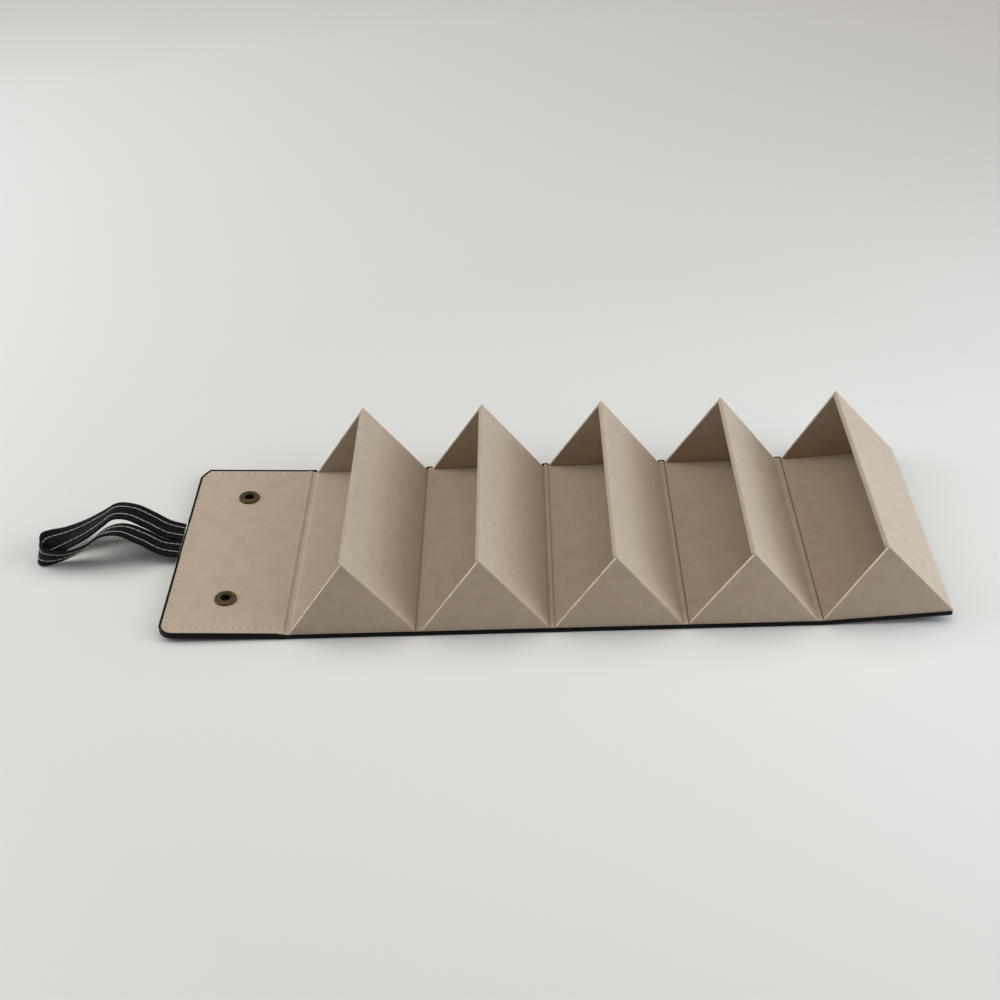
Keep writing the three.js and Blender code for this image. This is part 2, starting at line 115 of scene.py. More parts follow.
COVER_BLACK = "#0A0908"
COVER_CREASE = "#060605"

joints = {joint["name"]: joint for joint in frame["joints"]}
fold_x = {name: joint["pos_m"][0] / MM for name, joint in joints.items()}


def colour(code):
    """An sRGB hex colour as the linear values that shaders take."""
    shares = [int(code[i:i + 2], 16) / 255 for i in (1, 3, 5)]
    return [s / 12.92 if s <= 0.04045 else ((s + 0.055) / 1.055) ** 2.4 for s in shares] + [1]


def add(material, kind, sockets, **settings):
    """Adds a shader node, with its settings, and its sockets set or linked to (node, output)."""
    node = material.node_tree.nodes.new("ShaderNode" + kind)
    for name, value in settings.items():
        setattr(node, name, value)
    for name, value in sockets.items():
        if isinstance(value, tuple) and isinstance(value[0], bpy.types.Node):
            material.node_tree.links.new(value[0].outputs[value[1]], node.inputs[name])
        else:
            node.inputs[name].default_value = value
    return node


def new_material(name):
    """A material with an empty node tree."""
    material = bpy.data.materials.new(name)
    material.use_nodes = True
    material.node_tree.nodes.clear()
    return material


def leather(name, dark, crease, grain_size, roughness):
    """Pebble-grained polyurethane leather: dark creases round soft pebbles, satin and uneven."""
    material = new_material(name)
    place = add(material, "TexCoord", {})
    bend = add(material, "TexNoise", {
        "Vector": (place, "Object"), "Scale": 1 / (3 * grain_size * MM), "Detail": 2,
    })
    bent = add(material, "VectorMath", {
        0: (bend, "Color"), 1: (0.6 * grain_size * MM,) * 3, 2: (place, "Object"),
    }, operation="MULTIPLY_ADD")
    pebbles = add(material, "TexVoronoi", {
        "Vector": (bent, "Vector"), "Scale": 1 / (grain_size * MM), "Smoothness": 0.4,
    }, feature="SMOOTH_F1")
    patches = add(material, "TexNoise", {
        "Vector": (place, "Object"), "Scale": 1 / (PATCH_SIZE * MM), "Detail": 3,
    })
    tone = add(material, "ValToRGB", {"Fac": (pebbles, "Distance")})
    tone.color_ramp.elements[0].color = colour(dark)
    tone.color_ramp.elements[0].position = 0.35
    tone.color_ramp.elements[1].color = colour(crease)
    tone.color_ramp.elements[1].position = 0.8
    gloss = add(material, "MapRange", {
        "Value": (patches, "Fac"), "From Min": 0.3, "From Max": 0.7,
        "To Min": roughness - 0.06, "To Max": roughness + 0.08,
    })
    bump = add(material, "Bump", {
        "Height": (pebbles, "Distance"), "Strength": 0.35, "Distance": 0.25 * grain_size * MM,
    }, invert=True)
    skin = add(material, "BsdfPrincipled", {
        "Base Color": (tone, "Color"), "Roughness": (gloss, "Result"), "Normal": (bump, "Normal"),
        "Specular IOR Level": 0.12,
    })
    add(material, "OutputMaterial", {"Surface": (skin, "BSDF")})
    return material


cover_leather = leather("black_pu_leather", COVER_BLACK, COVER_CREASE, GRAIN_SIZE, COVER_ROUGHNESS)


def rest_place(joint):
    """Takes a panel drawn flat, in millimetres from its fold, to where it lies at rest, in metres."""
    hinge = Vector(joint["pos_m"])
    turn = Matrix.Rotation(math.radians(-joint["range_deg"][0]), 4, Vector(joint["axis"]))
    lift = Matrix.Translation((0, 0, -hinge.z))
    return Matrix.Translation(hinge) @ turn @ lift @ Matrix.Scale(MM, 4)


def level_place(x):
    """Takes a panel drawn flat, in millimetres, to x on the table, in metres."""
    return Matrix.Translation((x * MM, 0, 0)) @ Matrix.Scale(MM, 4)


panel_place = {
    number: level_place(fold_x["fold_23"] + (number - 3) * PITCH) for number in range(1, 5)
}
panel_place[5] = rest_place(joints["fold_45"])
flap_place = rest_place(joints["flap_fold"])


def make(name, shape, place, material):
    """An object in the frame from a bmesh, smooth but for its sharp edges."""
    bmesh.ops.recalc_face_normals(shape, faces=shape.faces)
    for face in shape.faces:
        face.smooth = True
    mesh = bpy.data.meshes.new(name)
    shape.to_mesh(mesh)
    shape.free()
    mesh.set_sharp_from_angle(angle=math.radians(SHARP_ANGLE))
    mesh.transform(place)
    mesh.materials.append(material)
    piece = bpy.data.objects.new(name, mesh)
    bpy.context.scene.collection.objects.link(piece)
    return piece


def loft(rings):
    """A closed skin over rings of points, each joined to the next."""
    shape = bmesh.new()
    rows = [[shape.verts.new(point) for point in ring] for ring in rings]
    count = len(rows[0])
    for row, following in zip(rows, rows[1:]):
        for i in range(count):
            j = (i + 1) % count
            shape.faces.new((row[i], row[j], following[j], following[i]))
    shape.faces.new(rows[0])
    shape.faces.new(rows[-1])
    return shape


def arc(centre, radius, start, end, steps):
    """Points on an arc, angles in degrees."""
    angles = [math.radians(start + (end - start) * i / steps) for i in range(steps + 1)]
    return [(centre[0] + radius * math.cos(a), centre[1] + radius * math.sin(a)) for a in angles]


def rim_profile(top):
    """The sheet's turned-up edge, from its outside: (inset, height)."""
    return [
        *arc((COVER_SOFT, COVER_SOFT), COVER_SOFT, 270, 180, 4),
        *arc((COVER_SOFT, top - COVER_SOFT), COVER_SOFT, 180, 90, 4),
        (COVER_THICK - RIM_CHAMFER, top), (COVER_THICK, top - RIM_CHAMFER), (COVER_THICK, COVER_THICK),
    ]


def cover_section(front_top=RIM_TOP, rear_top=RIM_TOP):
    """The sheet and its two turned-up rims, across the strip: (y, z)."""
    front = [(inset - HALF_DEPTH, z) for inset, z in rim_profile(front_top)]
    rear = [(HALF_DEPTH - inset, z) for inset, z in rim_profile(rear_top)]
    return front + rear[::-1]


def panel_outline(near, far, corner, inset, stops=(), cut=0.0):
    """Round three sides of a panel: front edge, far edge, rear edge. `cut` flattens the rear corner."""
    way = 1 if far > near else -1
    side = HALF_DEPTH - corner
    front = []
    rear = []
    for turn in [math.radians(90 * i / CORNER_STEPS) for i in range(CORNER_STEPS + 1)]:
        radius = corner - inset
        front.append((far - way * (corner - radius * math.sin(turn)), -side - radius * math.cos(turn)))
        radius = corner * (1 - cut + cut / (math.cos(turn) + math.sin(turn))) - inset
        back = corner - inset - radius * math.cos(turn)
        back *= CUT_REACH if cut else 1
        rear.append((far - way * (inset + back), side + radius * math.sin(turn)))
    edge = [(far - way * inset, y) for y in stops]
    return [(near, inset - HALF_DEPTH), *front, *edge, *rear, (near, HALF_DEPTH - inset)]


def tray(near, far, corner, profile, holes=(), stops=(), slot=None, cut=0.0):
    """A plate with a profile of (inset, height) on three sides, open at the near end.

    `holes` go through it, and `slot` is the part of the far edge where the profile stays low.
    """
    shape = bmesh.new()
    rows = []
    for inset, height in profile:
        row = []
        for x, y in panel_outline(near, far, corner, inset, stops, cut):
            in_slot = slot and slot[0] < y < slot[1] and abs(x - far) < FLAP_LIP + RIM_CHAMFER
            row.append(shape.verts.new((x, y, min(height, SLOT_TOP) if in_slot else height)))
        rows.append(row)
    for row, following in zip(rows, rows[1:]):
        for i in range(len(row) - 1):
            shape.faces.new((row[i], row[i + 1], following[i + 1], following[i]))
    shape.faces.new([row[0] for row in rows] + [row[-1] for row in reversed(rows)])
    walls = []
    for row in (rows[0], rows[-1]):
        edges = [shape.edges.get((row[i], row[i - 1])) for i in range(len(row))]
        edges = [e or shape.edges.new((row[i], row[i - 1])) for i, e in enumerate(edges)]
        for x, y, radius in holes:
            circle = arc((x, y), radius, 0, 360, HOLE_STEPS)[:-1]
            ring = [shape.verts.new((*point, row[0].co.z)) for point in circle]
            edges += [shape.edges.new((ring[i], ring[i - 1])) for i in range(len(ring))]
            walls.append(ring)
        if holes:
            bmesh.ops.triangle_fill(shape, edges=edges, use_beauty=True)
        else:
            shape.faces.new(row)
    half = len(walls) // 2
    for low, high in zip(walls[:half], walls[half:]):
        for i in range(len(low)):
            shape.faces.new((low[i], low[i - 1], high[i - 1], high[i]))
    bmesh.ops.remove_doubles(shape, verts=shape.verts, dist=MERGE_GAP)
    return shape


for number in range(1, 5):
    rings = [[(x, y, z) for y, z in cover_section()] for x in (BOARD_START, BOARD_END)]
    cover = make(f"cover_panel_{number}", loft(rings), panel_place[number], cover_leather)
    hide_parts(f"cover_{number}")
    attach(cover, f"compartment_{number}")

stud_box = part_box("snap_stud_front")
stud_reach = (panel_place[5].inverted() @ ((stud_box[0] + stud_box[1]) / 2)).x
last_holes = [(stud_reach, side, POST_HOLE) for side in (-SNAP_SIDE, SNAP_SIDE)]
last_cover = make(
    "cover_panel_5", tray(BOARD_START, STRIP_END, LAST_CORNER, rim_profile(RIM_TOP), last_holes),
    panel_place[5], cover_leather)
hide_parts("cover_5")
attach(last_cover, "compartment_5")

flap_rim = [
    *arc((COVER_SOFT, COVER_SOFT), COVER_SOFT, 270, 180, 4),
    *arc((FLAP_RIM_SOFT, FLAP_RIM_TOP - FLAP_RIM_SOFT), FLAP_RIM_SOFT, 180, 90, 5),
    (FLAP_LIP - RIM_CHAMFER, FLAP_RIM_TOP), (FLAP_LIP, FLAP_RIM_TOP - RIM_CHAMFER),
    (FLAP_LIP, LIP_BASE), (COVER_THICK, LIP_BASE), (COVER_THICK, COVER_THICK),
]
slot_stops = [end + step for end in STRAP_SLOT for step in (-SLOT_SLOPE, SLOT_SLOPE)]
flap_holes = [(-SNAP_REACH, side, POST_HOLE) for side in (-SNAP_SIDE, SNAP_SIDE)]
flap_cover = make(
    "flap_cover_panel",
    tray(-BOARD_START, -FLAP_LENGTH, FLAP_CORNER, flap_rim, flap_holes, slot_stops, STRAP_SLOT, REAR_CUT),
    flap_place, cover_leather)
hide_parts("flap_cover")
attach(flap_cover, "flap")

# Folds of the cover: between two boards the sheet is free, and bends. The flap's higher rim runs out
# there, and at the rear the rim puckers up a little.
FOLD_STEPS = 16
REAR_PUCKER = 1.1

fold_bodies = {f"fold_{n}{n + 1}": (f"compartment_{n}", f"compartment_{n + 1}") for n in range(1, 5)}
fold_bodies["flap_fold"] = ("flap", "compartment_1")
flap_shift = fold_x["flap_fold"] - (fold_x["fold_12"] - PITCH)
# For each fold: the left panel's place and the fold's x on it, then the same for the right panel.
fold_places = {f"fold_{n}{n + 1}": (panel_place[n], PITCH, panel_place[n + 1], 0.0) for n in range(1, 5)}
fold_places["flap_fold"] = (flap_place, 0.0, panel_place[1], flap_shift)


def smoothstep(share):
    """Eases from 0 to 1."""
    share = min(max(share, 0.0), 1.0)
    return share * share * (3 - 2 * share)


def fold_strip(name, fold, start, end, steps, section, material):
    """A strip across a fold, from `start` on the left panel to `end` on the right one.

    section(fold, x, share) gives its points of (y, z) at x from the fold.
    """
    left_place, left_x, right_place, right_x = fold_places[fold]
    before = start - left_x
    after = end - right_x
    rings = []
    for step in range(steps + 1):
        share = step / steps
        x = before + (after - before) * share
        place, shift = (left_place, left_x) if x <= 0 else (right_place, right_x)
        rings.append([place @ Vector((x + shift, y, z)) for y, z in section(fold, x, share)])
    strip = make(name, loft(rings), Matrix.Identity(4), material)
    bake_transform(strip)
    return strip


def cover_fold_section(fold, x, share):
    """The cover across a fold, with the height of its rims there."""
    if fold == "flap_fold":
        drop = RIM_TOP - FLAP_RIM_TOP
        front_top = FLAP_RIM_TOP + drop * smoothstep(share)
        rear_top = FLAP_RIM_TOP + drop * smoothstep(3 * share - 2)
        return cover_section(front_top, rear_top)
    return cover_section(rear_top=RIM_TOP + REAR_PUCKER * smoothstep(4 * min(share, 1 - share)))


for fold in fold_bodies:
    start = -BOARD_START if fold == "flap_fold" else BOARD_END
    strip = fold_strip(
        f"cover_{fold}", fold, start, BOARD_START, FOLD_STEPS, cover_fold_section, cover_leather)

# Boards: greyboard stiffeners under the floors, in the flap and in the walls, cut square and glued in.
# Pressed waste paper: dull grey-brown with darker and lighter fibre flecks.
BOARD_GREY = "#8B857A"
BOARD_DARK = "#6F695F"
FLECK_SIZE = 1.2
BOARD_GAP = 0.05
BARREL_HOLE = 4.0

greyboard = new_material("pressed_greyboard")
place = add(greyboard, "TexCoord", {})
flecks = add(greyboard, "TexNoise", {
    "Vector": (place, "Object"), "Scale": 1 / (FLECK_SIZE * MM), "Detail": 5, "Roughness": 0.7,
})
tone = add(greyboard, "ValToRGB", {"Fac": (flecks, "Fac")})
tone.color_ramp.elements[0].color = colour(BOARD_DARK)
tone.color_ramp.elements[0].position = 0.35
tone.color_ramp.elements[1].color = colour(BOARD_GREY)
tone.color_ramp.elements[1].position = 0.6
bump = add(greyboard, "Bump", {"Height": (flecks, "Fac"), "Strength": 0.3, "Distance": 0.1 * MM})
pulp = add(greyboard, "BsdfPrincipled", {
    "Base Color": (tone, "Color"), "Roughness": 0.9, "Normal": (bump, "Normal"),
})
add(greyboard, "OutputMaterial", {"Surface": (pulp, "BSDF")})


def dress(node, material):
    """Gives a solid that is shown as it is its material."""
    node.data.materials.clear()
    node.data.materials.append(material)


for name, node in frame["nodes"].items():
    if "board" in name:
        dress(node, greyboard)

board_inset = COVER_THICK + BOARD_GAP
board_profile = [(board_inset, board_inset), (board_inset, RIM_TOP)]
barrel_holes = [(-SNAP_REACH, side, BARREL_HOLE) for side in (-SNAP_SIDE, SNAP_SIDE)]
flap_board = make(
    "flap_greyboard",
    tray(-BOARD_START, -FLAP_LENGTH, FLAP_CORNER, board_profile, barrel_holes, cut=REAR_CUT),
    flap_place, greyboard)
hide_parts("flap_board")
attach(flap_board, "flap")

# Lining: beige flock cloth glued over the boards, with its edges pressed down into the fold grooves.
# Short upright fibres: matt, with a soft sheen at the edges, cloudy nap and faint brushed streaks.
LINING_THICK = 0.6
LINING_BASE = 2.5
LINING_TOP = 3.1
LINING_HALF = 82.15
GROOVE_BASE = 0.85
GROOVE_TOP = 1.45
FLOOR_START = 1.4
FLOOR_END = 73.1
FLOOR_SOFT_END = 0.3
FLOOR_SOFT_START = {2: 0.02, 3: 0.2, 4: 0.2, 5: 0.2}     # the second floor's edge is pressed sharp
FIRST_START = 1.6         # the first floor's cloth starts this much later, beside the flap's dip
FLAP_LINING_INSET = 1.25
FLOCK_BEIGE = "#B1A08C"
FLOCK_PALE = "#B5A491"
FLOCK_SHADE = "#AB9A86"
FLOCK_SHEEN = "#EFE6DA"
FIBRE_SIZE = 0.7          # clumps of fibres; the single 0.05 mm fibres are too fine to show
NAP_SIZE = 9.0
STREAK_WIDTH = 1.1
STREAK_LENGTH = 30.0
STREAK_SHARE = 0.25


def flock_cloth(name, shade, middle, pale):
    """Flock: matt fibres in cloudy nap, brushed faintly along the strip's depth."""
    material = new_material(name)
    place = add(material, "TexCoord", {})
    fibres = add(material, "TexNoise", {
        "Vector": (place, "Object"), "Scale": 1 / (FIBRE_SIZE * MM), "Detail": 4, "Roughness": 0.65,
    })
    nap = add(material, "TexNoise", {
        "Vector": (place, "Object"), "Scale": 1 / (NAP_SIZE * MM), "Detail": 4, "Roughness": 0.6,
    })
    drawn = add(material, "Mapping", {
        "Vector": (place, "Object"), "Scale": (1.0, STREAK_WIDTH / STREAK_LENGTH, 1.0),
    })
    streaks = add(material, "TexNoise", {
        "Vector": (drawn, "Vector"), "Scale": 1 / (STREAK_WIDTH * MM), "Detail": 2,
    })
    cloudy = add(material, "Math", {
        0: (streaks, "Fac"), 1: STREAK_SHARE, 2: (nap, "Fac"),
    }, operation="MULTIPLY_ADD")
    uneven = add(material, "Math", {0: (cloudy, "Value"), 1: (fibres, "Fac")}, operation="ADD")
    spread = add(material, "MapRange", {"Value": (uneven, "Value"), "From Min": 0.75, "From Max": 1.45})
    tone = add(material, "ValToRGB", {"Fac": (spread, "Result")})
    tone.color_ramp.elements[0].color = colour(shade)
    tone.color_ramp.elements[0].position = 0.15
    tone.color_ramp.elements[1].color = colour(pale)
    tone.color_ramp.elements[1].position = 0.85
    tone.color_ramp.elements.new(0.5).color = colour(middle)
    bump = add(material, "Bump", {"Height": (fibres, "Fac"), "Strength": 0.35, "Distance": 0.25 * MM})
    pile = add(material, "BsdfPrincipled", {
        "Base Color": (tone, "Color"), "Roughness": 0.95, "Normal": (bump, "Normal"),
        "Specular IOR Level": 0.2, "Sheen Weight": 0.25, "Sheen Roughness": 0.5,
        "Sheen Tint": colour(FLOCK_SHEEN),
    })
    add(material, "OutputMaterial", {"Surface": (pile, "BSDF")})
    return material


flock = flock_cloth("beige_flock_cloth", FLOCK_SHADE, FLOCK_BEIGE, FLOCK_PALE)


def drawn_out(outline, half):
    """An outline of (x, z) drawn out along the strip's depth, from -half to half."""
    return loft([[(x, y, z) for x, z in outline] for y in (-half, half)])


def floor_section(number):
    """A floor's cloth between its folds: (x, z), with a leg down into each groove."""
    leg_left = FLOOR_START + LINING_THICK
    leg_right = FLOOR_END - LINING_THICK
    if number == 1:
        section = [(FLOOR_START + FIRST_START, LINING_BASE), (FLOOR_START + FIRST_START, LINING_TOP)]
    else:
        soft = FLOOR_SOFT_START[number]
        section = [(leg_left, LINING_BASE), (leg_left, GROOVE_BASE), (FLOOR_START, GROOVE_BASE)]
        section += arc((FLOOR_START + soft, LINING_TOP - soft), soft, 180, 90, 4)
        section += [(FLOOR_START + 1, LINING_TOP)]
    soft = FLOOR_SOFT_END
    section += [(FLOOR_END - 1, LINING_TOP)]
    section += arc((FLOOR_END - soft, LINING_TOP - soft), soft, 90, 0, 4)
    if number == 5:
        return section + [(FLOOR_END, LINING_BASE)]
    return section + [(FLOOR_END, GROOVE_BASE), (leg_right, GROOVE_BASE), (leg_right, LINING_BASE)]


for number in range(1, 6):
    lining = make(
        f"floor_cloth_{number}", drawn_out(floor_section(number), LINING_HALF), panel_place[number], flock)
    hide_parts(f"floor_lining_{number}")
    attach(lining, f"compartment_{number}")

cloth_profile = [
    (FLAP_LINING_INSET, LINING_BASE), (FLAP_LINING_INSET, LINING_TOP - 0.25),
    (FLAP_LINING_INSET + 0.1, LINING_TOP - 0.08), (FLAP_LINING_INSET + 0.3, LINING_TOP),
    (FLAP_LINING_INSET + 0.8, LINING_TOP),
]
flap_lining = make(
    "flap_cloth", tray(-FLOOR_START, -FLAP_LENGTH, FLAP_CORNER, cloth_profile, barrel_holes, cut=REAR_CUT),
    flap_place, flock)
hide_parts("flap_lining")
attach(flap_lining, "flap")

# Groove strips: the same cloth, pressed on to the cover between two boards, where the strip folds. The
# first folds are creased in along the sloping wall's foot, the last ones along the next floor's edge;
# beside the flap it is a soft dip. GROOVE_CREASES says how deep each left and right crease is.
GROOVE_STEPS = 32
GROOVE_CREASES = {
    "fold_12": (1.0, 0.0), "fold_23": (0.9, 0.6), "fold_34": (0.55, 1.0), "fold_45": (0.15, 1.0),
}
LEFT_CREASE = 0.45        # widths of the creases, as shares of the strip
RIGHT_CREASE = 0.3
DIP_DEPTH = 0.55
DIP_START = 0.7
DIP_IN = 2.4
DIP_END = 4.7
DIP_OUT = 1.7
BOARD_LAP = 0.1
GROOVE_BEND = (-2.4, 1.2)
DIP_BEND = (-0.6, 3.6)


def groove_section(fold, x, share):
    """A groove strip's cloth, across the strip: (y, z)."""
    base = GROOVE_BASE
    if fold == "flap_fold":
        dip = smoothstep((x - DIP_START) / DIP_IN) * (1 - smoothstep((x - DIP_END) / DIP_OUT))
        rise = 1 - DIP_DEPTH * dip
        if x > BOARD_START - flap_shift - BOARD_LAP:
            base = LINING_BASE
    else:
        left_depth, right_depth = GROOVE_CREASES[fold]
        rise = 1 - left_depth * (1 - smoothstep(share / LEFT_CREASE))
        rise -= right_depth * smoothstep((share - 1 + RIGHT_CREASE) / RIGHT_CREASE)
    top = GROOVE_TOP + (LINING_TOP - GROOVE_TOP) * rise
    return [(-LINING_HALF, base), (-LINING_HALF, top), (LINING_HALF, top), (LINING_HALF, base)]


for fold in fold_bodies:
    if fold == "flap_fold":
        start, end, bend = -FLOOR_START, FLOOR_START + FIRST_START, DIP_BEND
    else:
        start, end, bend = FLOOR_END, FLOOR_START, GROOVE_BEND
    strip = fold_strip(f"groove_cloth_{fold}", fold, start, end, GROOVE_STEPS, groove_section, flock)

# Sloping walls: a board in a sleeve of the same flock cloth, wrapped over the ridge and glued at the
# foot. The cloth is fuller at the ridge, rounds it off and hangs flat down both faces.
WALL_BASE = 3.15
RIDGE = Vector((35.6, 51.6))
FOOT_THICK = 2.1
RIDGE_THICK = 2.9
RIDGE_ROUND = 0.75
SLEEVE_THICK = 0.4
SLOPE_HALF = 80.1

slope_foot = Vector((FLOOR_END, WALL_BASE))
slope_up = (RIDGE - slope_foot).normalized()
slope_in = Vector((-slope_up.y, slope_up.x))
slope_length = (RIDGE - slope_foot).length


def on_slope(up, depth):
    """A point (x, z) so far up the slope's outer face, and so deep under it."""
    return slope_foot + slope_up * up + slope_in * depth


def at_foot(depth):
    """The point so deep under the slope's outer face, level with its foot."""
    return on_slope(-slope_in.y * depth / slope_up.y, depth)


shoulder = slope_length - RIDGE_ROUND
sleeve_top = slope_length - SLEEVE_THICK
inner_round = RIDGE_THICK - RIDGE_ROUND
slope_section = [
    at_foot(0), on_slope(shoulder - 1, 0),
    *[on_slope(shoulder + up, RIDGE_ROUND - out) for out, up in arc((0, 0), RIDGE_ROUND, 0, 90, 6)],
    *[on_slope(shoulder + up, inner_round + out) for out, up in arc((0, 0), RIDGE_ROUND, 90, 0, 6)],
    at_foot(FOOT_THICK), at_foot(FOOT_THICK - SLEEVE_THICK),
    on_slope(sleeve_top, RIDGE_THICK - SLEEVE_THICK), on_slope(sleeve_top, SLEEVE_THICK),
    at_foot(SLEEVE_THICK),
]
for number in range(1, 6):
    slope = make(f"slope_cloth_{number}", drawn_out(slope_section, SLOPE_HALF), panel_place[number], flock)
    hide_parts(f"slope_sleeve_{number}")
    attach(slope, f"compartment_{number}")

# End walls: triangular boards in sleeves of flock cloth, sewn into the floor's front and rear edges
# and to the sloping wall's ends. The cloth turns over the board's edges in a soft round.
# Along the free edge the cloth is coloured paler: a painted highlight, so that the edge shows a light line
# down to its foot.
WALL_OUTER = 81.65
WALL_INNER = 80.1
WALL_SOFT = 0.6
WALL_FOOT = LINING_TOP - 0.15
EDGE_ROUND = 0.85
# Pale flock for the free edge, standing in for the light that edge catches: a painted highlight.
EDGE_HIGHLIGHT_BEIGE = "#E4D5C2"
edge_highlight_flock = flock_cloth("flock_painted_edge_highlight", FLOCK_PALE, EDGE_HIGHLIGHT_BEIGE, EDGE_HIGHLIGHT_BEIGE)

left_foot = Vector((FLOOR_START, WALL_BASE))
ridge_centre = on_slope(shoulder, RIDGE_ROUND)
toward_ridge = ridge_centre - left_foot
left_lean = math.atan2(toward_ridge.y, toward_ridge.x) + math.asin(RIDGE_ROUND / toward_ridge.length)
slope_lean = math.atan2(-slope_in.y, -slope_in.x)


def wall_outline(inset, rounding=0.0):
    """An end wall's outline of (x, z), drawn in by inset, and by rounding at the free edge and foot."""
    foot = WALL_FOOT - inset
    down = WALL_BASE - foot
    outline = [(left_foot.x - down / math.tan(left_lean), foot)]
    outline += [(slope_foot.x - down * slope_up.x / slope_up.y, foot)]
    outline += arc(ridge_centre, RIDGE_ROUND, math.degrees(slope_lean), math.degrees(left_lean) + 90, 8)
    moved = []
    for i, here in enumerate(outline):
        first = (Vector(here) - Vector(outline[i - 1])).normalized()
        second = (Vector(outline[(i + 1) % len(outline)]) - Vector(here)).normalized()
        inward = Vector((-first.y - second.y, first.x + second.x)) / (1 + first.dot(second))
        moved.append(Vector(here) + inward * inset)
    moved[0] += Vector((1 / math.sin(left_lean) + 1 / math.tan(left_lean), 1)) * rounding
    moved[1] += Vector((slope_up.x / slope_up.y, 1)) * rounding
    moved[-1] += Vector((math.sin(left_lean), -math.cos(left_lean))) * rounding
    return moved


for number in range(1, 6):
    for row, side in (("front", -1), ("rear", 1)):
        rings = []
        for cos, sin in arc((0, 0), 1, 0, 90, 5):
            y = side * (WALL_OUTER - WALL_SOFT * (1 - cos))
            rings.append([(x, y, z) for x, z in wall_outline(WALL_SOFT * (1 - sin))])
        for cos, sin in arc((0, 0), 1, 0, 90, 3):
            y = side * (WALL_INNER + EDGE_ROUND * (1 - sin))
            rings.append([(x, y, z) for x, z in wall_outline(0, EDGE_ROUND * (1 - cos))])
        shape = loft(rings)
        shape.faces.ensure_lookup_table()
        corners = len(rings[0])
        # The faces round each wall's free edge take the pale flock, a painted highlight.
        for face in range(corners - 1, corners * (len(rings) - 1), corners):
            shape.faces[face].material_index = 1
        wall = make(f"{row}_wall_cloth_{number}", shape, panel_place[number], flock)
        wall.data.materials.append(edge_highlight_flock)
        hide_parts(f"{row}_wall_sleeve_{number}")
        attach(wall, f"compartment_{number}")

# Snap fasteners: antique brass, pressed from sheet and riveted through the cover. A socket with a
# rolled rim on the flap's lining and its cap below; a stud and a steel back plate on the last floor.
# Darkened brass, rubbed bright where it is touched; the back plates are bright with fine scuffs.
BRASS_BRIGHT = "#6C5C42"
BRASS_PATINA = "#34291A"
TARNISH_SIZE = 1.5
STEEL_GREY = "#9A9A97"
SCUFF_SIZE = 0.8
SOCKET_RADIUS = 6.5
SOCKET_RIM = 0.45
SOCKET_HEIGHT = 1.3
SEAT_GAP = 0.05
DISH_DEPTH = 0.28
TURN_STEPS = 48
ON_AXIS = 1e-6

brass = new_material("antique_brass")
place = add(brass, "TexCoord", {})
tarnish = add(brass, "TexNoise", {
    "Vector": (place, "Object"), "Scale": 1 / (TARNISH_SIZE * MM), "Detail": 5, "Roughness": 0.6,
})
rub = add(brass, "Attribute", {}, attribute_name="rubbed")
shine = add(brass, "Math", {0: (rub, "Fac"), 1: (tarnish, "Fac")}, operation="MULTIPLY")
tone = add(brass, "ValToRGB", {"Fac": (shine, "Value")})
tone.color_ramp.elements[0].color = colour(BRASS_PATINA)
tone.color_ramp.elements[0].position = 0.05
tone.color_ramp.elements[1].color = colour(BRASS_BRIGHT)
tone.color_ramp.elements[1].position = 0.6
gloss = add(brass, "MapRange", {"Value": (shine, "Value"), "To Min": 0.6, "To Max": 0.4})
bump = add(brass, "Bump", {"Height": (tarnish, "Fac"), "Strength": 0.12, "Distance": 0.05 * MM})
metal = add(brass, "BsdfPrincipled", {
    "Base Color": (tone, "Color"), "Metallic": 0.75, "Roughness": (gloss, "Result"),
    "Normal": (bump, "Normal"),
})
add(brass, "OutputMaterial", {"Surface": (metal, "BSDF")})

steel = new_material("plated_steel")
place = add(steel, "TexCoord", {})
scuffs = add(steel, "TexNoise", {"Vector": (place, "Object"), "Scale": 1 / (SCUFF_SIZE * MM), "Detail": 4})
gloss = add(steel, "MapRange", {"Value": (scuffs, "Fac"), "To Min": 0.25, "To Max": 0.5})
metal = add(steel, "BsdfPrincipled", {
    "Base Color": colour(STEEL_GREY), "Metallic": 1.0, "Roughness": (gloss, "Result"),
})
add(steel, "OutputMaterial", {"Surface": (metal, "BSDF")})


def turned(profile, x, y):
    """A profile of (radius, height) turned round an upright axis at (x, y)."""
    shape = bmesh.new()
    rows = []
    for radius, height in profile:
        ring = [(x, y)] if radius < ON_AXIS else arc((x, y), radius, 0, 360, TURN_STEPS)[:-1]
        rows.append([shape.verts.new((*point, height)) for point in ring])
    for row, following in zip(rows, rows[1:]):
        for i in range(TURN_STEPS):
            j = (i + 1) % TURN_STEPS
            corners = [row[i % len(row)], row[j % len(row)],
                       following[j % len(following)], following[i % len(following)]]
            shape.faces.new(list(dict.fromkeys(corners)))
    return shape


def rubbed(piece, profile, amount_at):
    """Stores how far each ring of a turned piece is rubbed bright, from 0 to 1."""
    amounts = []
    for radius, height in profile:
        amounts += [amount_at(radius, height)] * (1 if radius < ON_AXIS else TURN_STEPS)
    layer = piece.data.attributes.new("rubbed", "FLOAT", "POINT")
    layer.data.foreach_set("value", amounts)


